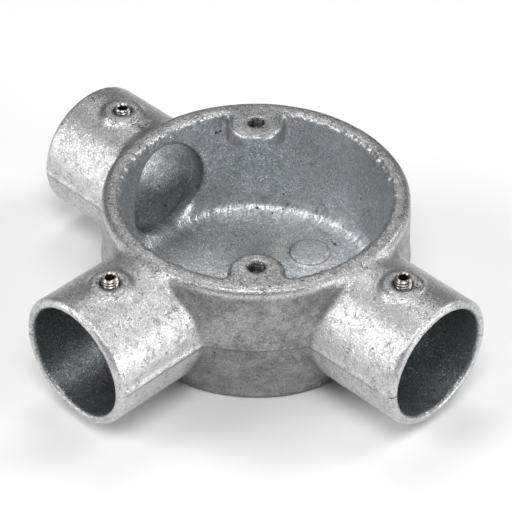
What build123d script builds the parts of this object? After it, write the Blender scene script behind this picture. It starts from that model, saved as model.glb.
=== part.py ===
from build123d import *
import os
from math import radians, tan

# Conduit tee box in cast iron, in millimetres. The origin is the centre of the flat base. +Z runs out of the
# open mouth, the straight run of conduit lies along X and the branch leaves along -Y.

# Tube sockets
conduit_radius = 12.5
conduit_clearance = 0.1
socket_wall = 2.3
socket_length = 20.1  # from the box wall to the mouth
socket_mouth_chamfer = 0.8
socket_bore_chamfer = 0.5
socket_root_round = 3.0
stop_step = 1.6  # how far the stop stands in from the socket's bore
stop_length = 2.8  # from the cavity wall to the face that the tube meets
stop_round = 2.0

# Outside of the round box
base_stand = 2.5  # underside of the sockets above the base
rim_stand = 0.8  # rim above the top of the sockets
wall_thickness = 4.5
wall_draft = 1.2  # degrees, above the parting plane
base_taper = 3.6  # how far the wall leans in from the parting plane to the base
base_edge_chamfer = 0.7
rim_outer_round = 1.6
rim_inner_chamfer = 0.7

# Inside of the round box
cavity_radius = 29.4  # at the rim
cavity_draft = 0.9  # degrees
way_sill = 0.6  # underside of the way out of a socket above the floor
floor_round = 3.0
pad_radius = 4.6
pad_height = 0.35
pad_seat = 1.0  # how far the pad reaches down into the floor
pad_place = (0.2, 17.4)

# Parting flash, the thin ridge where the mould halves met
flash_width = 0.3
flash_thickness = 0.8
flash_end_gap = 0.4  # the ridge stops short of the socket mouths

# Lid lugs
lid_hole_inset = 4.0  # from the cavity wall at the rim, which puts the two holes 50.8 apart
lid_hole_radius = 1.65
lid_hole_countersink = 0.35
lid_hole_stop = 1.0  # from the floor to the end of the drill
front_lug_wall = 3.4  # from the hole to the tip of the nose
back_lug_wall = 4.4
lug_nose_radius = 6.1
lug_seat = 1.5  # how far a lug reaches into the wall
lug_skirt = 2.8  # upright part of the nose
lug_underside = 30.0  # degrees from level
lug_root_round = 1.2

# Clamp screws and their bosses
screw_radius = 1.95
screw_clearance = 0.05
screw_length = 3.5
screw_from_mouth = 11.2
screw_tip_gap = 0.1  # from the bore to the point of the deepest screw
screw_backed_out = {"right": 1.0, "left": 0.0, "branch": 0.8}  # from the place of the deepest screw
screw_chamfer = 0.5
screw_point_chamfer = 0.7
hex_across_flats = 2.0
hex_depth = 1.8
boss_radius = 4.3  # of the flat top
boss_height = 0.45
boss_slope = 50.0  # degrees
boss_top_chamfer = 0.25
boss_root_round = 0.6

# Sizes that follow
bore_radius = conduit_radius + conduit_clearance
socket_radius = bore_radius + socket_wall
stop_radius = bore_radius - stop_step
axis_height = base_stand + socket_radius
box_height = axis_height + socket_radius + rim_stand
wall_radius = cavity_radius + wall_thickness
lid_hole_spacing = 2 * (cavity_radius - lid_hole_inset)
socket_reach = wall_radius + socket_length
stop_face = cavity_radius + stop_length
floor_thickness = axis_height - stop_radius - way_sill
screw_offset = socket_reach - screw_from_mouth
boss_top = axis_height + socket_radius + boss_height
screw_tip = axis_height + bore_radius + screw_tip_gap

socket_angles = {"right": 0, "left": 180, "branch": -90}
lug_walls = {-45: front_lug_wall, 135: back_lug_wall}  # by the lug's angle
margin = 10.0
hair = 0.01  # closer than this counts as touching
low_end = (Align.CENTER, Align.CENTER, Align.MIN)


def turned(outline, corner=None, size=0):
    # A solid turned about the box axis from (radius, height) points, with one corner rounded if it is named. Its
    # seam lies at 45 degrees, clear of the sockets and the lugs.
    face = make_face(Plane.XZ * Polyline(*outline, close=True))
    if corner:
        radius, height = corner
        face = fillet(face.vertices().sort_by_distance((radius, 0, height))[0], size)
    return Rot(0, 0, 45) * revolve(face, Axis.Z)


def lying(radius, start, end):
    # A cylinder on the axis of the right-hand socket.
    return Pos(start, 0, axis_height) * Rot(0, 90, 0) * Cylinder(radius, end - start, align=low_end)


def at_sockets(shape):
    # The right-hand socket's shape turned to each socket, as one.
    turns = [Rot(0, 0, angle) * shape for angle in socket_angles.values()]
    whole = turns[0]
    for turn in turns[1:]:
        whole += turn
    return whole


def blended(body, addition, size):
    joined = body + addition
    return fillet(new_edges(body, addition, combined=joined), size)


def boss():
    # The low round seat of a clamp screw, on top of the right-hand socket.
    depth = socket_radius / 4
    seat = Cone(boss_radius + depth / tan(radians(boss_slope)), boss_radius, depth, align=low_end)
    seat = chamfer(seat.edges().group_by(Axis.Z)[-1], boss_top_chamfer)
    return Pos(screw_offset, 0, boss_top - depth) * seat


def with_sockets(wall):
    # One socket is blended into the wall and its mouth's edge is cut.
    body = blended(wall, lying(socket_radius, 0, socket_reach), socket_root_round)
    mouth = body.faces().sort_by(Axis.X)[-1]
    return chamfer(mouth.edges(), socket_mouth_chamfer)


def slab(bottom, top):
    return Pos(0, 0, bottom) * Box(3 * socket_reach, 3 * socket_reach, top - bottom, align=low_end)


def upper_half():
    # The wall leans in a little towards the rim. It starts below the sockets, so that their roots run out clear
    # of its end, and it is cut off at the parting plane.
    lean = tan(radians(wall_draft))
    low = axis_height - socket_radius - margin
    low_corner = (wall_radius + (axis_height - low) * lean, low)
    rim_corner = (wall_radius - (box_height - axis_height) * lean, box_height)
    wall = turned([(0, low), low_corner, rim_corner, (0, box_height)], rim_corner, rim_outer_round)
    body = blended(with_sockets(wall), boss(), boss_root_round)
    return at_sockets(body) & slab(axis_height, box_height + margin)


def lower_half():
    # The wall leans in towards the base. It runs on past both ends, and the half is cut off at the parting plane
    # and at the base.
    lean = base_taper / axis_height
    low = axis_height - socket_radius - margin
    high = axis_height + socket_radius + margin
    low_corner = (wall_radius - (axis_height - low) * lean, low)
    high_corner = (wall_radius + (high - axis_height) * lean, high)
    wall = turned([(0, low), low_corner, high_corner, (0, high)])
    body = at_sockets(with_sockets(wall)) & slab(0, axis_height)
    base = body.faces().sort_by(Axis.Z)[0]
    return chamfer(base.edges(), base_edge_chamfer)


def flash():
    # Outline of the whole casting at the parting plane, a little larger all round.
    length = socket_reach - flash_end_gap
    strip = Rectangle(length, 2 * (socket_radius + flash_width), align=(Align.MIN, Align.CENTER))
    strip = chamfer(strip.vertices().group_by(Axis.X)[-1], socket_mouth_chamfer + flash_width)
    outline = Circle(wall_radius + flash_width)
    for angle in socket_angles.values():
        outline += Rot(0, 0, angle) * strip
    return Pos(0, 0, axis_height) * extrude(outline, flash_thickness / 2, both=True)


def cavity():
    taper = tan(radians(cavity_draft))
    floor_corner = (cavity_radius - (box_height - floor_thickness) * taper, floor_thickness)
    outline = [(0, floor_thickness), floor_corner, (cavity_radius, box_height), (0, box_height)]
    return turned(outline, floor_corner, floor_round)


def core():
    # The hollow: the bowl, and for each socket the bore, its stop and the rounded way out into the bowl.
    bowl = cavity()
    way = lying(stop_radius, 0, stop_face)
    hollow = bowl + way
    hollow = fillet(new_edges(bowl, way, combined=hollow), stop_round)
    hollow += lying(bore_radius, stop_face, socket_reach)
    return at_sockets(hollow)


def lug(wall):
    # A lid lug along +X: round nose, upright skirt and an underside that runs back down to the wall.
    hole = lid_hole_spacing / 2
    tip = hole - lid_hole_radius - wall
    nose = tip + lug_nose_radius
    back = cavity_radius + lug_seat
    foot = box_height - lug_skirt
    plan = Pos(nose, 0) * Circle(lug_nose_radius)
    plan += Pos(nose, 0) * Rectangle(back - nose, 2 * lug_nose_radius, align=(Align.MIN, Align.CENTER))
    heel = foot - (back - tip) * tan(radians(lug_underside))
    corners = [(tip, box_height), (tip, foot), (back, heel), (back, box_height)]
    side = make_face(Plane.XZ * Polyline(*corners, close=True))
    return extrude(plan, box_height) & extrude(side, lug_nose_radius, both=True)


def with_lugs(body):
    for angle, wall in lug_walls.items():
        turned_lug = Rot(0, 0, angle) * lug(wall)
        whole = body + turned_lug
        roots = new_edges(body, turned_lug, combined=whole).filter_by(lambda edge: abs((edge % 0.5).Z) > 0.9)
        body = fillet(roots, lug_root_round)
    level = body.faces().filter_by(lambda face: abs(face.center().Z - box_height) < hair)
    rim = level.sort_by(SortBy.AREA)[-1]
    return chamfer(rim.inner_wires()[0].edges(), rim_inner_chamfer)


def lid_holes():
    shaft = Cylinder(lid_hole_radius, box_height, align=low_end)
    sink = Cone(
        lid_hole_radius, lid_hole_radius + lid_hole_countersink, lid_hole_countersink, align=low_end
    )
    hole = Pos(lid_hole_spacing / 2, 0, floor_thickness + lid_hole_stop) * shaft
    hole += Pos(lid_hole_spacing / 2, 0, box_height - lid_hole_countersink) * sink
    return [Rot(0, 0, angle) * hole for angle in lug_walls]


def screw_hole():
    return Pos(screw_offset, 0, axis_height) * Cylinder(
        screw_radius + screw_clearance, box_height, align=low_end
    )


def clamp_screw():
    # A headless screw with a hexagon socket, on the right-hand socket.
    screw = Cylinder(screw_radius, screw_length, align=low_end)
    screw = chamfer(screw.edges().group_by(Axis.Z)[-1], screw_chamfer)
    screw = chamfer(screw.edges().group_by(Axis.Z)[0], screw_point_chamfer)
    key = extrude(RegularPolygon(hex_across_flats / 2, 6, major_radius=False), hex_depth)
    return Pos(screw_offset, 0, screw_tip) * (screw - Pos(0, 0, screw_length - hex_depth) * key)


def casting():
    body = flash() + upper_half() + lower_half()
    body -= core()
    body = with_lugs(body)
    pad = Cylinder(pad_radius, pad_seat + pad_height, align=low_end)
    body += Pos(*pad_place, floor_thickness - pad_seat) * pad
    for hole in lid_holes():
        body -= hole
    body -= at_sockets(screw_hole())
    mouths = body.edges().filter_by(
        lambda edge: edge.geom_type == GeomType.CIRCLE
        and abs(edge.radius - bore_radius) < hair
        and abs(abs(edge.arc_center.X + edge.arc_center.Y) - socket_reach) < hair
    )
    return chamfer(mouths, socket_bore_chamfer)


os.makedirs("parts", exist_ok=True)
box = casting()
print("casting", box.is_valid, len(box.solids()), round(box.volume))
export_step(box, "parts/box_casting.step")
for name, angle in socket_angles.items():
    screw = Rot(0, 0, angle) * Pos(0, 0, screw_backed_out[name]) * clamp_screw()
    export_step(screw, f"parts/clamp_screw_{name}.step")
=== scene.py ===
import bpy
import math
import numpy as np
from mathutils import Matrix, Vector


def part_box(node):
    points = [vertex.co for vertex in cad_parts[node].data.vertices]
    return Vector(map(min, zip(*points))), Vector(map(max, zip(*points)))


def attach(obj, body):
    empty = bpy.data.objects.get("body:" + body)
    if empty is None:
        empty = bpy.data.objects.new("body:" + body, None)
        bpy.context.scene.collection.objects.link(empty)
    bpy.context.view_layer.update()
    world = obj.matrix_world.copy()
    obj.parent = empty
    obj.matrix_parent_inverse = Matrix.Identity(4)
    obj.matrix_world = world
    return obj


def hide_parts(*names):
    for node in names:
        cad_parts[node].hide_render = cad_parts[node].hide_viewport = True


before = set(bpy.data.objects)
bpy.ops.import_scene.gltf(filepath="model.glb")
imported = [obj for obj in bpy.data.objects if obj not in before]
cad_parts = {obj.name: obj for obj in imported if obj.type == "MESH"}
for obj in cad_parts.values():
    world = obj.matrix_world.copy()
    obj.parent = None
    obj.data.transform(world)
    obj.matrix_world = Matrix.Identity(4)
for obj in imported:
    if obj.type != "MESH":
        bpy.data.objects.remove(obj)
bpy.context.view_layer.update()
mm = 0.001
weldReach = 0.002 * mm  # closer points are merged
print("frame loaded:", len(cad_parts), "nodes")


# Small helpers

def deselectAll():
    if bpy.context.object and bpy.context.object.mode != "OBJECT":
        bpy.ops.object.mode_set(mode="OBJECT")
    bpy.ops.object.select_all(action="DESELECT")


def makeActive(piece):
    deselectAll()
    piece.select_set(True)
    bpy.context.view_layer.objects.active = piece


def applyAll(piece):
    makeActive(piece)
    for modifier in list(piece.modifiers):
        bpy.ops.object.modifier_apply(modifier=modifier.name)


def applyPlace(piece):
    makeActive(piece)
    bpy.ops.object.transform_apply(location=True, rotation=True, scale=True)


def faceOutwards(piece):
    makeActive(piece)
    bpy.ops.object.mode_set(mode="EDIT")
    bpy.ops.mesh.select_all(action="SELECT")
    bpy.ops.mesh.remove_doubles(threshold=weldReach)
    bpy.ops.mesh.normals_make_consistent(inside=False)
    bpy.ops.object.mode_set(mode="OBJECT")


def copyOfNode(nodeName, pieceName):
    # a merged copy of a CAD node's mesh, free of the node itself
    piece = bpy.data.objects.new(pieceName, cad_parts[nodeName].data.copy())
    bpy.context.scene.collection.objects.link(piece)
    piece.data.materials.clear()
    makeActive(piece)
    bpy.ops.object.mode_set(mode="EDIT")
    bpy.ops.mesh.select_all(action="SELECT")
    bpy.ops.mesh.remove_doubles(threshold=weldReach)
    bpy.ops.object.mode_set(mode="OBJECT")
    return piece


def finishPiece(piece, body, material, replaced=()):
    piece.data.materials.clear()
    piece.data.materials.append(material)
    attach(piece, body)
    if replaced:
        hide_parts(*replaced)


def smoothShade(piece, angle):
    makeActive(piece)
    bpy.ops.object.shade_smooth_by_angle(angle=math.radians(angle))


def fade(value, low, high):
    # 0 at low, 1 at high, with soft ends; low may be the larger
    share = np.clip((value - low) / (high - low), 0, 1)
    return share * share * (3 - 2 * share)


def pointsOf(piece):
    # the vertices in mm, one row each
    flat = np.empty(len(piece.data.vertices) * 3)
    piece.data.vertices.foreach_get("co", flat)
    return flat.reshape(-1, 3) / mm


def placePoints(piece, points):
    piece.data.vertices.foreach_set("co", (points * mm).ravel())
    piece.data.update()


def paintPoints(piece, name, values):
    layer = piece.data.attributes.new(name, "FLOAT", "POINT")
    layer.data.foreach_set("value", values.astype(np.float32))


# Camera, placed as the photograph was taken

cameraView = {
    "focalLength": 159.9,  # mm
    "azimuth": 44.6,  # degrees
    "elevation": 39.6,
    "roll": 0.43,
    "slideRight": 0.127,  # mm, the aim beside and above the origin
    "slideUp": 11.481,
    "distance": 513.8,
    "sensorWidth": 36,
    "clip": (0.01, 20),  # m
}


def awayAt(azimuth, elevation):
    # unit vector from the object towards an azimuth and elevation in degrees
    turn, rise = math.radians(azimuth), math.radians(elevation)
    return Vector((math.sin(turn) * math.cos(rise), -math.cos(turn) * math.cos(rise), math.sin(rise)))


def makeCamera(view):
    turn, roll = math.radians(view["azimuth"]), math.radians(view["roll"])
    back = awayAt(view["azimuth"], view["elevation"])
    right = Vector((math.cos(turn), math.sin(turn), 0))
    up = back.cross(right)
    rolledRight = right * math.cos(roll) + up * math.sin(roll)
    rolledUp = up * math.cos(roll) - right * math.sin(roll)
    place = (rolledRight * view["slideRight"] + rolledUp * view["slideUp"] + back * view["distance"]) * mm
    bpy.ops.object.camera_add()
    camera = bpy.context.object
    camera.name = "camera"
    axes = Matrix((rolledRight, rolledUp, back)).transposed().to_4x4()
    camera.matrix_world = Matrix.Translation(place) @ axes
    camera.data.sensor_width = view["sensorWidth"]
    camera.data.lens = view["focalLength"]
    camera.data.clip_start, camera.data.clip_end = view["clip"]
    bpy.context.scene.camera = camera


makeCamera(cameraView)
print("camera set")


# Studio: one pale floor, soft lights

studio = {
    "floorSize": 6.0,  # m
    "floorDrop": 0.0001,  # m, below the base
    "floorGrey": 0.92,
    "floorRoughness": 0.9,
    "floorSheen": 0.2,
    "worldStrength": 0.06,
    "lights": {  # azimuth and elevation seen from the object, distance m, size m, power W
        "right": (105, 12, 1.0, 0.45, 4.5),
        "backRight": (150, 38, 1.0, 0.45, 2.9),
        "backHigh": (-135, 62, 1.0, 0.45, 2.1),
        "sideHigh": (-90, 62, 1.0, 0.45, 0.4),
        "left": (-30, 38, 1.0, 0.45, 3.0),
        "leftLow": (-30, 12, 1.0, 0.45, 2.2),
        "frontHigh": (45, 62, 1.0, 0.45, 4.5),
    },
}


def makeStudio(values):
    deselectAll()
    bpy.ops.mesh.primitive_plane_add(size=values["floorSize"], location=(0, 0, -values["floorDrop"]))
    floor = bpy.context.object
    floor.name = "floor"
    applyPlace(floor)
    paint = bpy.data.materials.new("paleFloor")
    paint.use_nodes = True
    shader = paint.node_tree.nodes["Principled BSDF"]
    grey = values["floorGrey"]
    shader.inputs["Base Color"].default_value = (grey, grey, grey, 1)
    shader.inputs["Roughness"].default_value = values["floorRoughness"]
    shader.inputs["Specular IOR Level"].default_value = values["floorSheen"]
    floor.data.materials.append(paint)
    world = bpy.data.worlds.new("studioWorld")
    world.use_nodes = True
    background = world.node_tree.nodes["Background"]
    background.inputs["Color"].default_value = (1, 1, 1, 1)
    background.inputs["Strength"].default_value = values["worldStrength"]
    bpy.context.scene.world = world
    for name, (azimuth, elevation, distance, size, power) in values["lights"].items():
        away = awayAt(azimuth, elevation)
        bpy.ops.object.light_add(type="AREA", location=away * distance)
        light = bpy.context.object
        light.name = name
        light.rotation_euler = away.to_track_quat("Z", "Y").to_euler()
        light.data.shape = "DISK"
        light.data.size = size
        light.data.energy = power
    bpy.context.scene.view_settings.view_transform = "Standard"


makeStudio(studio)
print("studio set")


# Shader helpers and groups; a group takes places in metres and sizes in mm

floatKind = "NodeSocketFloat"
vectorKind = "NodeSocketVector"
whereInput = ("Vector", vectorKind, None)


def newGroup(name, inputs, outputs):
    group = bpy.data.node_groups.new(name, "ShaderNodeTree")
    for label, kind, default in inputs:
        socket = group.interface.new_socket(name=label, in_out="INPUT", socket_type=kind)
        if default is not None:
            socket.default_value = default
    for label in outputs:
        group.interface.new_socket(name=label, in_out="OUTPUT", socket_type=floatKind)
    return group, group.nodes.new("NodeGroupInput").outputs, group.nodes.new("NodeGroupOutput").inputs


def feed(tree, socket, value):
    # a number or colour is set on the socket, anything else is linked to it
    if isinstance(value, tuple):
        socket.default_value = (*value, 1)
    elif isinstance(value, (int, float)):
        socket.default_value = value
    else:
        tree.links.new(value, socket)


def mathNode(tree, operation, first, second=0.5):
    node = tree.nodes.new("ShaderNodeMath")
    node.operation = operation
    feed(tree, node.inputs[0], first)
    feed(tree, node.inputs[1], second)
    return node.outputs[0]


def times(tree, first, *others):
    for other in others:
        first = mathNode(tree, "MULTIPLY", first, other)
    return first


def plus(tree, first, *others):
    for other in others:
        first = mathNode(tree, "ADD", first, other)
    return first


def minus(tree, first, second):
    return mathNode(tree, "SUBTRACT", first, second)


def anyOf(tree, first, *others):
    for other in others:
        first = mathNode(tree, "MAXIMUM", first, other)
    return first


def rampNode(tree, value, low, high, bottom=0.0, top=1.0):
    node = tree.nodes.new("ShaderNodeMapRange")
    node.interpolation_type = "SMOOTHSTEP"
    given = {"From Min": low, "From Max": high, "To Min": bottom, "To Max": top, "Value": value}
    for label, amount in given.items():
        feed(tree, node.inputs[label], amount)
    return node.outputs["Result"]


def noiseNode(tree, vector, scale, detail, rough, distortion=0.0):
    node = tree.nodes.new("ShaderNodeTexNoise")
    given = {"Vector": vector, "Scale": scale, "Detail": detail, "Roughness": rough, "Distortion": distortion}
    for label, value in given.items():
        feed(tree, node.inputs[label], value)
    return node


def cellNode(tree, vector, scale):
    # distance to the nearest cell's point, and the cell's own random red and green
    node = tree.nodes.new("ShaderNodeTexVoronoi")
    feed(tree, node.inputs["Vector"], vector)
    feed(tree, node.inputs["Scale"], scale)
    split = tree.nodes.new("ShaderNodeSeparateColor")
    feed(tree, split.inputs["Color"], node.outputs["Color"])
    return node.outputs["Distance"], split.outputs["Red"], split.outputs["Green"]


def splitAxes(tree, vector):
    node = tree.nodes.new("ShaderNodeSeparateXYZ")
    feed(tree, node.inputs["Vector"], vector)
    return node.outputs


def inMillimetres(tree, vector):
    node = tree.nodes.new("ShaderNodeVectorMath")
    node.operation = "MULTIPLY"
    feed(tree, node.inputs[0], vector)
    node.inputs[1].default_value = (1 / mm, 1 / mm, 1 / mm)
    return node.outputs["Vector"]


def perMillimetre(tree, size):
    # a texture scale from a feature size in mm
    return mathNode(tree, "DIVIDE", 1 / mm, size)


def mixColour(tree, share, first, second):
    node = tree.nodes.new("ShaderNodeMix")
    node.data_type = "RGBA"
    for index, value in ((0, share), (6, first), (7, second)):
        feed(tree, node.inputs[index], value)
    return node.outputs[2]


def addBump(tree, shader, height, depth):
    bump = tree.nodes.new("ShaderNodeBump")
    bump.inputs["Strength"].default_value = 1.0
    bump.inputs["Distance"].default_value = depth * mm
    feed(tree, bump.inputs["Height"], height)
    feed(tree, shader.inputs["Normal"], bump.outputs["Normal"])


def makeGrainGroup():
    # sandy grain of a zinc coat over cast iron
    group, given, out = newGroup(
        "zincGrain", [whereInput, ("Grain Size", floatKind, 0.5), ("Dimple Size", floatKind, 2.2)],
        ["Height", "Speckle", "Crease"]
    )
    where = given["Vector"]
    fineScale = perMillimetre(group, given["Grain Size"])
    fine = noiseNode(group, where, fineScale, 3.0, 0.68, 0.5).outputs["Fac"]
    dimpleScale = perMillimetre(group, given["Dimple Size"])
    dimples = noiseNode(group, where, dimpleScale, 3.0, 0.58, 0.4).outputs["Fac"]
    grainRed, grainGreen = cellNode(group, where, times(group, fineScale, 1.35))[1:]
    feed(group, out["Height"], plus(group, fine, dimples, times(group, grainGreen, 0.07)))
    speckle = plus(group, times(group, fine, 0.72), times(group, grainRed, 0.28))
    feed(group, out["Speckle"], rampNode(group, speckle, 0.36, 0.64))
    # short winding creases where the coat has shrunk
    winding = noiseNode(group, where, times(group, fineScale, 0.42), 2.0, 0.55, 0.9).outputs["Fac"]
    valley = rampNode(group, mathNode(group, "ABSOLUTE", minus(group, winding, 0.5)), 0.035, 0.005)
    scatter = noiseNode(group, where, times(group, fineScale, 0.2), 2.0, 0.6).outputs["Fac"]
    feed(group, out["Crease"], times(group, valley, rampNode(group, scatter, 0.44, 0.58)))
    return group


def makePitGroup():
    # scattered ragged pinholes and specks of dross
    group, given, out = newGroup(
        "pinholes",
        [whereInput, ("Spacing", floatKind, 2.6), ("Reach", floatKind, 0.1), ("Amount", floatKind, 0.5)],
        ["Mask"]
    )
    wobble = noiseNode(group, given["Vector"], 1300.0, 2.0, 0.5)
    ragged = group.nodes.new("ShaderNodeVectorMath")
    ragged.operation = "MULTIPLY_ADD"
    feed(group, ragged.inputs[0], wobble.outputs["Color"])
    ragged.inputs[1].default_value = (0.6 * mm, 0.6 * mm, 0.6 * mm)
    feed(group, ragged.inputs[2], given["Vector"])
    far, chance = cellNode(group, ragged.outputs["Vector"], perMillimetre(group, given["Spacing"]))[:2]
    spot = rampNode(group, far, given["Reach"], times(group, given["Reach"], 0.45))
    feed(group, out["Mask"], times(group, spot, mathNode(group, "LESS_THAN", chance, given["Amount"])))
    return group


def makeToneGroup():
    # slow mottling of a dull coat, 0 dark to 1 bright
    group, given, out = newGroup(
        "coatTone", [whereInput, ("Patch Size", floatKind, 9.0), ("Speck Size", floatKind, 2.4)], ["Tone"]
    )
    patches = noiseNode(group, given["Vector"], perMillimetre(group, given["Patch Size"]), 4.0, 0.6, 0.5)
    specks = noiseNode(group, given["Vector"], perMillimetre(group, given["Speck Size"]), 3.0, 0.6, 0.2)
    mixed = plus(group, times(group, patches.outputs["Fac"], 0.6), times(group, specks.outputs["Fac"], 0.4))
    feed(group, out["Tone"], rampNode(group, mixed, 0.34, 0.66))
    return group


def makeStreakGroup():
    # short slanting ridges that run up a round wall, side by side along its circle
    group, given, out = newGroup(
        "coreStreaks", [whereInput, ("Radius", floatKind, 28.0), ("Ridge Width", floatKind, 0.8)], ["Height"]
    )
    axes = splitAxes(group, given["Vector"])
    turn = mathNode(group, "ARCTAN2", axes["Y"], axes["X"])
    slanted = plus(group, times(group, turn, given["Radius"], mm), times(group, axes["Z"], 0.5))
    onWall = group.nodes.new("ShaderNodeCombineXYZ")
    feed(group, onWall.inputs["X"], slanted)
    feed(group, onWall.inputs["Y"], times(group, axes["Z"], 0.16))
    ridgeScale = perMillimetre(group, given["Ridge Width"])
    ridges = noiseNode(group, onWall.outputs["Vector"], ridgeScale, 2.0, 0.6, 0.3)
    feed(group, out["Height"], rampNode(group, ridges.outputs["Fac"], 0.34, 0.66))
    return group


def makeSpotGroup():
    # one ragged round spot at a place
    group, given, out = newGroup(
        "flawSpot", [whereInput, ("Centre", vectorKind, (0, 0, 0)), ("Reach", floatKind, 0.3)], ["Mask"]
    )
    gap = group.nodes.new("ShaderNodeVectorMath")
    gap.operation = "DISTANCE"
    feed(group, gap.inputs[0], inMillimetres(group, given["Vector"]))
    feed(group, gap.inputs[1], given["Centre"])
    ragged = noiseNode(group, given["Vector"], 2200.0, 2.0, 0.6).outputs["Fac"]
    far = plus(group, gap.outputs["Value"], times(group, minus(group, ragged, 0.5), 0.5))
    feed(group, out["Mask"], rampNode(group, far, given["Reach"], times(group, given["Reach"], 0.55)))
    return group


def makeWellGroup():
    # the inside of an upright round hole, from its centre's height up
    group, given, out = newGroup(
        "drilledWell", [whereInput, ("Centre", vectorKind, (0, 0, 0)), ("Reach", floatKind, 1.7)], ["Mask"]
    )
    away = group.nodes.new("ShaderNodeVectorMath")
    away.operation = "SUBTRACT"
    feed(group, away.inputs[0], inMillimetres(group, given["Vector"]))
    feed(group, away.inputs[1], given["Centre"])
    axes = splitAxes(group, away.outputs["Vector"])
    squares = plus(group, times(group, axes["X"], axes["X"]), times(group, axes["Y"], axes["Y"]))
    aside = mathNode(group, "SQRT", squares)
    inside = rampNode(group, aside, plus(group, given["Reach"], 0.12), minus(group, given["Reach"], 0.1))
    feed(group, out["Mask"], times(group, inside, mathNode(group, "GREATER_THAN", axes["Z"], 0.0)))
    return group


def makeSeamGroup():
    # a thin wandering and broken line at one height
    group, given, out = newGroup(
        "partingSeam", [whereInput, ("Height", floatKind, 17.0), ("Width", floatKind, 0.3)], ["Mask"]
    )
    axes = splitAxes(group, given["Vector"])
    wander = noiseNode(group, given["Vector"], 160.0, 3.0, 0.6).outputs["Fac"]
    level = plus(group, times(group, axes["Z"], 1 / mm), times(group, wander, 0.5))
    gap = mathNode(group, "ABSOLUTE", minus(group, level, plus(group, given["Height"], 0.25)))
    line = rampNode(group, gap, times(group, given["Width"], 0.75), times(group, given["Width"], 0.2))
    scatter = noiseNode(group, given["Vector"], 420.0, 2.0, 0.6).outputs["Fac"]
    feed(group, out["Mask"], times(group, line, rampNode(group, scatter, 0.33, 0.47)))
    return group


grainGroup = makeGrainGroup()
pitGroup = makePitGroup()
toneGroup = makeToneGroup()
streakGroup = makeStreakGroup()
spotGroup = makeSpotGroup()
wellGroup = makeWellGroup()
seamGroup = makeSeamGroup()


def placeGroup(tree, group, where, *values):
    # the values go to the group's inputs in their order, after the place
    node = tree.nodes.new("ShaderNodeGroup")
    node.node_tree = group
    tree.links.new(where, node.inputs["Vector"])
    for index, value in enumerate(values):
        node.inputs[index + 1].default_value = value
    return node.outputs


def readPaint(tree, name):
    node = tree.nodes.new("ShaderNodeAttribute")
    node.attribute_name = name
    return node.outputs["Fac"]


# Zinc coat of the casting

zincLook = {
    "darkGrey": (0.45, 0.45, 0.455),
    "lightGrey": (0.71, 0.71, 0.71),
    "bowlDark": (0.42, 0.438, 0.452),
    "bowlLight": (0.72, 0.74, 0.76),
    # painted shadow colours inside the bores
    "boreShadowDark": (0.06, 0.075, 0.08),
    "boreShadowLight": (0.20, 0.225, 0.23),
    # painted highlight on the ridges in the floor's rounded corner
    "streakHighlight": (0.90, 0.92, 0.93),
    # the grey of painted shade: the wall's, the rim top's, and the shadow lines of the parting ridge and the
    # floor's pad
    "shadowGrey": (0.09, 0.09, 0.095),
    "pitColour": (0.03, 0.03, 0.032),
    # painted shade inside the holes
    "holeShadow": (0.02, 0.02, 0.02),
    "toneShare": 0.34,  # of the slow mottling; the rest is grain
    "paintedWallShade": 0.60,  # painted shade: how much darker the round wall is than the tubes, uneven with the coat's mottling
    # painted shade on the rim's top
    "rimPaintedShade": 0.26,
    "streakHighlightShare": 0.9,
    "seamShadowShare": 0.8,
    "padShadowShare": 0.7,
    "holeShadowShare": 0.93,
    "spotShare": 0.92,
    "finePitShare": (0.6, 0.35),  # everywhere, and added on the rim
    "widePitShare": 0.9,
    "creaseShare": (0.62, 0.3),  # everywhere, and added on the rim
    "roughness": (0.26, 0.43),
    "metallic": 0.9,
    "bumpDepth": 0.10,  # mm, and the depths below are parts of it
    "flawDepth": 0.5,
    "streakDepth": 0.8,
    "seamDepth": 0.5,
    "grain": (0.42, 2.6),  # mm, size of a grain and of a dimple
    "patches": (9.0, 2.2),  # mm, size of a patch and of a speck
    "finePits": (1.1, 0.19, 0.42),  # spacing in mm, reach in parts of it, share of cells that have one
    "widePits": (5.5, 0.055, 0.5),
    "streaks": (28.0, 0.9),  # mm, radius of the floor's corner and width of a ridge
    "seam": (16.95, 0.36),  # mm, height of the parting ridge's foot, where its painted shadow line runs, and width
    "pad": ((0.2, 17.4, 5.0), 4.6, 0.28),  # mm, centre, radius and width of the painted shadow line round the floor's pad
    "wells": [  # mm, foot and radius of the drilled holes, painted dark inside as shade
        ((17.96, -17.96, 20.0), 1.9), ((-17.96, 17.96, 20.0), 1.9),
        ((42.8, 0, 30.4), 2.04), ((-42.8, 0, 30.4), 2.04), ((0, -42.8, 30.4), 2.04),
    ],
    "spots": [  # mm, centre and radius of single dark flaws
        ((-14.7, 23.8, 6.5), 0.30), ((-14.5, 24.2, 6.8), 0.26), ((-14.4, 24.6, 7.2), 0.26),
        ((-14.3, 24.9, 7.6), 0.24), ((-19.4, 20.0, 6.4), 0.42), ((-15.9, 21.6, 5.9), 0.40),
        ((-15.4, 24.6, 10.1), 0.36), ((2.0, 23.7, 5.8), 0.55), ((0.9, 24.0, 5.8), 0.30),
        ((0.1, 24.2, 5.8), 0.28), ((5.0, 28.7, 17.9), 0.36), ((-19.0, 22.1, 14.1), 0.28),
        ((-26.1, 13.4, 28.1), 0.55), ((-25.6, 14.2, 28.4), 0.45), ((-14.7, 24.1, 32.1), 0.45),
        ((-35.5, 5.6, 6.1), 0.50), ((45.6, 1.14, 32.8), 0.40), ((44.9, 1.9, 32.6), 0.32),
        ((-35.5, -0.6, 32.3), 0.50), ((-35.6, 0.5, 32.3), 0.42), ((24.3, -20.5, 33.1), 0.34),
        ((-16.0, 9.7, 5.8), 0.36), ((-13.5, 14.0, 5.8), 0.30), ((14.3, -28.5, 7.7), 0.32),
        ((13.0, -32.6, 24.8), 0.32),
    ],
}


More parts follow.
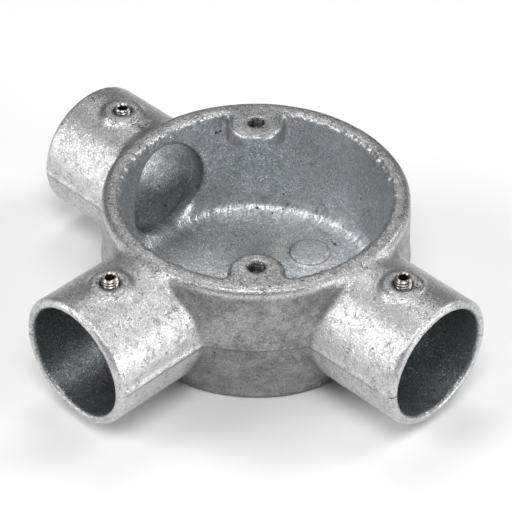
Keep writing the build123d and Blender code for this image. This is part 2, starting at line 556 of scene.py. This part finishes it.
def paintedWallShade(tree, look, tone, rim):
    # painted shade darkens the round wall, more in the coat's dark patches, and the rim's top all over
    low, high = 1.15 * look["paintedWallShade"], 0.8 * look["paintedWallShade"]
    onWall = times(tree, readPaint(tree, "wallShade"), rampNode(tree, tone, 0.0, 1.0, low, high))
    return anyOf(tree, onWall, times(tree, rim, look["rimPaintedShade"]))


def padShadowLine(tree, look, where):
    # a painted shadow line where the floor's pad steps down
    centre, radius, width = look["pad"]
    outer, inner = (
        placeGroup(tree, wellGroup, where, centre, radius + side * width / 2)["Mask"] for side in (1, -1)
    )
    return minus(tree, outer, inner)


def coatFlaws(tree, look, where, crease, rim):
    # pinholes, creases and the single flaws, as one mask
    everywhere, onRim = look["finePitShare"]
    fine = placeGroup(tree, pitGroup, where, *look["finePits"])["Mask"]
    fine = times(tree, fine, plus(tree, times(tree, rim, onRim), everywhere))
    wide = placeGroup(tree, pitGroup, where, *look["widePits"])["Mask"]
    wide = times(tree, wide, look["widePitShare"])
    everywhere, onRim = look["creaseShare"]
    creases = times(tree, crease, plus(tree, times(tree, rim, onRim), everywhere))
    spots = anyOf(tree, *(placeGroup(tree, spotGroup, where, *spot)["Mask"] for spot in look["spots"]))
    return anyOf(tree, fine, wide, creases, times(tree, spots, look["spotShare"]))


def makeZinc(look):
    paint = bpy.data.materials.new("galvanisedIron")
    paint.use_nodes = True
    tree = paint.node_tree
    shader = tree.nodes["Principled BSDF"]
    where = tree.nodes.new("ShaderNodeTexCoord").outputs["Object"]
    rim = readPaint(tree, "rimShade")
    corner = readPaint(tree, "cornerRidgesAndHighlight")
    grain = placeGroup(tree, grainGroup, where, *look["grain"])
    tone = placeGroup(tree, toneGroup, where, *look["patches"])["Tone"]
    # raised ridges in the floor's corner, also painted light as a highlight
    streaks = times(tree, placeGroup(tree, streakGroup, where, *look["streaks"])["Height"], corner)
    # the parting ridge's painted shadow line, also sunk in the bump
    seam = placeGroup(tree, seamGroup, where, *look["seam"])["Mask"]
    seam = times(tree, seam, readPaint(tree, "outerShade"))
    flaws = coatFlaws(tree, look, where, grain["Crease"], rim)
    # painted shade inside the lid holes and in the gaps round the clamp screws
    wells = anyOf(tree, *(placeGroup(tree, wellGroup, where, *well)["Mask"] for well in look["wells"]))
    # colour, from the coat's tone to the painted highlights, painted shade and shadows, and the dark flaws
    grainShare = 1 - look["toneShare"]
    share = plus(tree, times(tree, tone, look["toneShare"]), times(tree, grain["Speckle"], grainShare))
    outside = mixColour(tree, share, look["darkGrey"], look["lightGrey"])
    # painted shade on the round wall and the rim's top
    outside = mixColour(tree, paintedWallShade(tree, look, tone, rim), outside, look["shadowGrey"])
    inside = mixColour(tree, share, look["bowlDark"], look["bowlLight"])
    # the dark colour painted in the bores as shadow
    boreShadow = mixColour(tree, share, look["boreShadowDark"], look["boreShadowLight"])
    colour = mixColour(tree, readPaint(tree, "bowlShade"), outside, inside)
    for layerShare, layerColour in (
        (times(tree, streaks, look["streakHighlightShare"]), look["streakHighlight"]),
        (readPaint(tree, "borePaintedShade"), boreShadow),
        (times(tree, seam, look["seamShadowShare"]), look["shadowGrey"]),
        (times(tree, padShadowLine(tree, look, where), look["padShadowShare"]), look["shadowGrey"]),
        (flaws, look["pitColour"]),
        (times(tree, wells, look["holeShadowShare"]), look["holeShadow"]),
    ):
        colour = mixColour(tree, layerShare, colour, layerColour)
    feed(tree, shader.inputs["Base Color"], colour)
    low, high = look["roughness"]
    feed(tree, shader.inputs["Roughness"], rampNode(tree, grain["Speckle"], 0.0, 1.0, high, low))
    shader.inputs["Metallic"].default_value = look["metallic"]
    raised = plus(tree, grain["Height"], times(tree, streaks, look["streakDepth"]))
    sunk = plus(tree, times(tree, flaws, look["flawDepth"]), times(tree, seam, look["seamDepth"]))
    addBump(tree, shader, minus(tree, raised, sunk), look["bumpDepth"])
    return paint


# Steel of the clamp screws

steelLook = {
    "darkBrown": (0.19, 0.175, 0.165),
    "lightSteel": (0.56, 0.54, 0.52),
    # painted shade in the thread roots and the key's well
    "grooveShadow": (0.035, 0.03, 0.03),
    "grain": (0.16, 0.6),  # mm, size of a grain and of a dimple
    "patches": (1.6, 0.5),  # mm, size of a patch and of a speck
    "roughness": (0.22, 0.40),
    "bumpDepth": 0.02,  # mm
}


def makeSteel(look):
    paint = bpy.data.materials.new("brownedSteel")
    paint.use_nodes = True
    tree = paint.node_tree
    shader = tree.nodes["Principled BSDF"]
    where = tree.nodes.new("ShaderNodeTexCoord").outputs["Object"]
    grain = placeGroup(tree, grainGroup, where, *look["grain"])
    tone = placeGroup(tree, toneGroup, where, *look["patches"])["Tone"]
    colour = mixColour(tree, tone, look["darkBrown"], look["lightSteel"])
    # painted shade in the screw's recesses
    colour = mixColour(tree, readPaint(tree, "groovePaintedShade"), colour, look["grooveShadow"])
    feed(tree, shader.inputs["Base Color"], colour)
    low, high = look["roughness"]
    feed(tree, shader.inputs["Roughness"], rampNode(tree, grain["Speckle"], 0.0, 1.0, high, low))
    shader.inputs["Metallic"].default_value = 1.0
    addBump(tree, shader, grain["Height"], look["bumpDepth"])
    return paint


zinc = makeZinc(zincLook)
steel = makeSteel(steelLook)
print("finishes made")


# The casting: a copy of the CAD casting, melted together and given the unevenness of sand and zinc

castingForm = {
    # in mm, but for counts and shares
    "voxel": 0.40,
    "smoothShare": 0.5,
    "smoothRounds": 3,
    "mostTriangles": 186000,
    "swell": 0.16,  # slow waves of the wall
    "swellSize": 9.0,
    "ripple": 0.06,
    "rippleSize": 2.6,
    "axisHeight": 17.4,  # of the tubes, above the base
    "boreRadius": 12.6,
    "boreStart": 32.2,
    # painted shadow inside the tubes' bores: how much in each, at the foot of a way, and at most
    "boreShadowAmount": {"right": 0.64, "left": 0.1, "branch": 0.74},
    "wayShadow": 0.6,  # painted shadow added at the foot of a way into the bowl
    "mostBoreShadow": 0.95,
    "cavityRadius": 29.4,
    "floorHeight": 5.8,
    "rimHeight": 33.1,
    "wallRadius": 33.9,
    "edgeWander": 0.17,  # of the rim's inner edge
    "edgeWaves": [(29, 0.4), (53, 2.1), (83, 4.4), (127, 1.3)],  # count round the rim, start in radians
    "lidHoleRing": 25.4,
    "tapLow": 24.0,
    "tapHigh": 36.0,
    "threadCrest": 1.6,
    "threadRoot": 1.98,
    "threadPitch": 0.7,
    "sharpAngle": 40,  # degrees
    "dents": [  # centre, radius and depth of the larger casting flaws
        ((-35.5, -0.6, 32.3), 1.1, 0.28), ((-35.8, 1.6, 32.2), 0.9, 0.22), ((45.4, 1.5, 32.7), 1.0, 0.22),
        ((-26.0, 13.8, 28.2), 1.0, 0.25), ((-14.5, 24.3, 7.0), 0.9, 0.2), ((33.5, 7.8, 31.0), 1.4, 0.2),
        ((2.0, 23.7, 5.8), 0.8, 0.2),
    ],
}
boxSides = {"right": 0, "left": 180, "branch": -90}
lugSides = {"near": -45, "far": 135}


def displaceByClouds(piece, label, size, strength):
    texture = bpy.data.textures.new(label, "CLOUDS")
    texture.noise_scale = size * mm
    modifier = piece.modifiers.new(label, "DISPLACE")
    modifier.texture = texture
    modifier.texture_coords = "LOCAL"
    modifier.strength = strength * mm
    modifier.mid_level = 0.5


ringsPerTurn = 10
flankSlope = 1.25
flankStart = 0.12  # larger leaves a wider flat crest


def threadedPlug(name, centre, low, high, crest, root, pitch, sides=48):
    # a closed cylinder whose side winds as a thread
    rings = int((high - low) / pitch * ringsPerTurn)
    deselectAll()
    foot = (centre[0] * mm, centre[1] * mm, low * mm)
    bpy.ops.mesh.primitive_circle_add(vertices=sides, radius=root * mm, fill_type="NGON", location=foot)
    plug = bpy.context.object
    plug.name = name
    bpy.ops.object.mode_set(mode="EDIT")
    rise = (high - low) / rings * mm
    for ring in range(rings):
        bpy.ops.mesh.extrude_region_move(TRANSFORM_OT_translate={"value": (0, 0, rise)})
    bpy.ops.object.mode_set(mode="OBJECT")
    points = pointsOf(plug)
    angles = np.arctan2(points[:, 1], points[:, 0])
    turnShare = (points[:, 2] / pitch - angles / (2 * math.pi)) % 1
    depth = np.clip(np.abs(2 * turnShare - 1) * flankSlope - flankStart, 0, 1)
    radius = crest + (root - crest) * depth
    points[:, 0] = np.cos(angles) * radius
    points[:, 1] = np.sin(angles) * radius
    placePoints(plug, points)
    applyPlace(plug)
    faceOutwards(plug)
    return plug


def cutAway(piece, cutter):
    modifier = piece.modifiers.new("cut", "BOOLEAN")
    modifier.operation = "DIFFERENCE"
    modifier.solver = "EXACT"
    modifier.object = cutter
    applyAll(piece)
    bpy.data.objects.remove(cutter)


def makeCasting(form):
    casting = copyOfNode("box_casting", "castBox")
    remesh = casting.modifiers.new("remesh", "REMESH")
    remesh.mode = "VOXEL"
    remesh.voxel_size = form["voxel"] * mm
    smooth = casting.modifiers.new("smooth", "SMOOTH")
    smooth.factor = form["smoothShare"]
    smooth.iterations = form["smoothRounds"]
    applyAll(casting)
    triangles = 2 * len(casting.data.polygons)
    thin = casting.modifiers.new("thin", "DECIMATE")
    thin.ratio = min(1, form["mostTriangles"] / triangles)
    displaceByClouds(casting, "swell", form["swellSize"], form["swell"])
    displaceByClouds(casting, "ripple", form["rippleSize"], form["ripple"])
    applyAll(casting)
    print("casting remeshed:", triangles, "triangles thinned to", len(casting.data.polygons))
    return casting


def keepInside(piece):
    # nothing stands past the box of the CAD casting
    low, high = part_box("box_casting")
    placePoints(piece, np.clip(pointsOf(piece), np.array(low) / mm, np.array(high) / mm))


def roughenEdge(points, form):
    # the rim's inner edge wanders in and out a little
    turn = np.arctan2(points[:, 1], points[:, 0])
    fromEdge = np.abs(np.hypot(points[:, 0], points[:, 1]) - form["cavityRadius"])
    near = fade(fromEdge, 1.6, 0.2) * fade(points[:, 2], form["rimHeight"] - 3.0, form["rimHeight"] - 1.0)
    wave = sum(np.sin(turn * count + start) for count, start in form["edgeWaves"]) * 0.5
    push = near * wave * form["edgeWander"]
    points[:, 0] += np.cos(turn) * push
    points[:, 1] += np.sin(turn) * push


def dentCasting(piece, form):
    points = pointsOf(piece)
    normals = np.empty(points.size)
    piece.data.vertex_normals.foreach_get("vector", normals)
    normals = normals.reshape(-1, 3)
    for centre, reach, depth in form["dents"]:
        near = np.linalg.norm(points - np.array(centre), axis=1) / reach
        points -= normals * (depth * fade(near, 1.0, 0.1))[:, None]
    roughenEdge(points, form)
    placePoints(piece, points)


def tapLidHoles(piece, form):
    for name, angle in lugSides.items():
        turn = math.radians(angle)
        centre = (math.cos(turn) * form["lidHoleRing"], math.sin(turn) * form["lidHoleRing"])
        plug = threadedPlug(
            "tap" + name, centre, form["tapLow"], form["tapHigh"],
            form["threadCrest"], form["threadRoot"], form["threadPitch"]
        )
        cutAway(piece, plug)


def paintBoreShadow(x, y, z, form):
    # where the bores are, and the painted shadow in them, deepest at the foot of a way into the bowl
    inBore = np.zeros(len(x))
    shadowAmount = np.zeros(len(x))
    start, axisHeight, boreRadius = form["boreStart"], form["axisHeight"], form["boreRadius"]
    for name, angle in boxSides.items():
        turn = math.radians(angle)
        along = x * math.cos(turn) + y * math.sin(turn)
        aside = np.hypot(-x * math.sin(turn) + y * math.cos(turn), z - axisHeight)
        tube = fade(along, start - 3.5, start - 0.6) * fade(aside, boreRadius + 0.6, boreRadius + 0.1)
        foot = fade(along, start + 6, start) * fade(z, axisHeight + 2, axisHeight - 7)
        depth = np.minimum(form["boreShadowAmount"][name] + form["wayShadow"] * foot, form["mostBoreShadow"])
        inBore = np.maximum(inBore, tube)
        shadowAmount = np.maximum(shadowAmount, tube * depth)
    return inBore, shadowAmount


def paintMasks(piece, form):
    # where the bowl, the bores with their painted shadow, the outside, the floor's rounded corner and the rim
    # are, for the finish
    x, y, z = pointsOf(piece).T
    radius = np.hypot(x, y)
    cavity, floor, rim = form["cavityRadius"], form["floorHeight"], form["rimHeight"]
    inBore, shadowAmount = paintBoreShadow(x, y, z, form)
    inBowl = fade(radius, cavity + 1.0, cavity + 0.3) * fade(z, floor - 1.0, floor - 0.5)
    inBowl = np.maximum(inBowl * fade(z, rim - 0.2, rim - 0.8), inBore)
    # the floor's rounded corner, for its ridges and painted highlight
    corner = fade(radius, cavity - 4.2, cavity - 2.8) * fade(z, floor + 4.0, floor + 2.2) * inBowl
    wall = fade(radius, form["wallRadius"] + 2.2, form["wallRadius"] + 0.5) * (1 - inBowl)
    paintPoints(piece, "bowlShade", inBowl)
    paintPoints(piece, "wallShade", wall * fade(z, rim - 1.4, rim - 2.6))
    paintPoints(piece, "borePaintedShade", shadowAmount)
    paintPoints(piece, "outerShade", 1 - inBowl)
    paintPoints(piece, "cornerRidgesAndHighlight", corner * (1 - inBore))
    paintPoints(piece, "rimShade", fade(z, rim - 1.6, rim - 0.6))


casting = makeCasting(castingForm)
dentCasting(casting, castingForm)
keepInside(casting)
tapLidHoles(casting, castingForm)
print("lid holes tapped")
paintMasks(casting, castingForm)
smoothShade(casting, castingForm["sharpAngle"])
finishPiece(casting, "box", zinc, ["box_casting"])
print("casting done:", len(casting.data.polygons), "faces")


# Clamp screws

screwForm = {
    # in mm
    "length": 3.5,
    "crest": 1.90,
    "root": 1.48,
    "pitch": 0.7,
    "topChamfer": 0.38,
    "tipChamfer": 0.65,
    "topSlope": 1.1,  # of the top chamfer
    "sides": 64,
    "hexFlats": 2.05,
    "hexDepth": 1.8,
    "sinkRadius": 1.34,  # of the countersink, at the end face
    "sinkReach": 0.5,  # past the end face both ways, at 45 degrees
    "wellRadius": 1.3,  # within it the key hole is painted dark as shade
    "wellShadowAmount": 0.95,
    "grooveShadowAmount": 0.85,
    "sharpAngle": 35,  # degrees
    "turns": {"right": 0.5, "left": 0.1, "branch": 0.9},  # how each is turned, in radians
}


def makeScrew(form):
    length, crest = form["length"], form["crest"]
    screw = threadedPlug("clampScrew", (0, 0), 0, length, crest, form["root"], form["pitch"], form["sides"])
    points = pointsOf(screw)
    radius = np.hypot(points[:, 0], points[:, 1])
    topLimit = crest - form["topChamfer"] + (length - points[:, 2]) * form["topSlope"]
    tipLimit = crest - form["tipChamfer"] + points[:, 2]
    share = np.minimum(topLimit, tipLimit) / np.maximum(radius, 0.01)
    points[:, :2] *= np.minimum(1, share)[:, None]
    placePoints(screw, points)
    end = (0, 0, length * mm)
    deselectAll()
    bpy.ops.mesh.primitive_cylinder_add(
        vertices=6, radius=form["hexFlats"] / math.sqrt(3) * mm, depth=2 * form["hexDepth"] * mm, location=end
    )
    key = bpy.context.object
    applyPlace(key)
    cutAway(screw, key)
    low, high = form["sinkRadius"] - form["sinkReach"], form["sinkRadius"] + form["sinkReach"]
    deselectAll()
    bpy.ops.mesh.primitive_cone_add(
        vertices=48, radius1=low * mm, radius2=high * mm, depth=2 * form["sinkReach"] * mm, location=end
    )
    sink = bpy.context.object
    applyPlace(sink)
    cutAway(screw, sink)
    return screw


def paintGrooveShadow(piece, form):
    # painted shade in the thread roots and the key's well
    x, y, z = pointsOf(piece).T
    radius = np.hypot(x, y)
    length, reach = form["length"], form["wellRadius"]
    groove = fade(radius, form["crest"] - 0.1, form["root"] + 0.08) * fade(z, length - 0.3, length - 0.5)
    well = fade(radius, reach, reach - 0.1) * fade(z, length - 0.15, length - 0.6)
    shade = np.maximum(groove * form["grooveShadowAmount"], well * form["wellShadowAmount"])
    paintPoints(piece, "groovePaintedShade", shade)


def placeScrews(form):
    model = makeScrew(form)
    paintGrooveShadow(model, form)
    for name, angle in boxSides.items():
        low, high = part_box("clamp_screw_" + name)
        copy = bpy.data.objects.new("clampScrew" + name.capitalize(), model.data.copy())
        bpy.context.scene.collection.objects.link(copy)
        foot = Vector(((low[0] + high[0]) / 2, (low[1] + high[1]) / 2, low[2]))
        turned = Matrix.Rotation(math.radians(angle) + form["turns"][name], 4, "Z")
        copy.data.transform(Matrix.Translation(foot) @ turned)
        smoothShade(copy, form["sharpAngle"])
        finishPiece(copy, "screw_" + name, steel, ["clamp_screw_" + name])
    bpy.data.objects.remove(model)


placeScrews(screwForm)
print("clamp screws done")

bpy.context.view_layer.update()
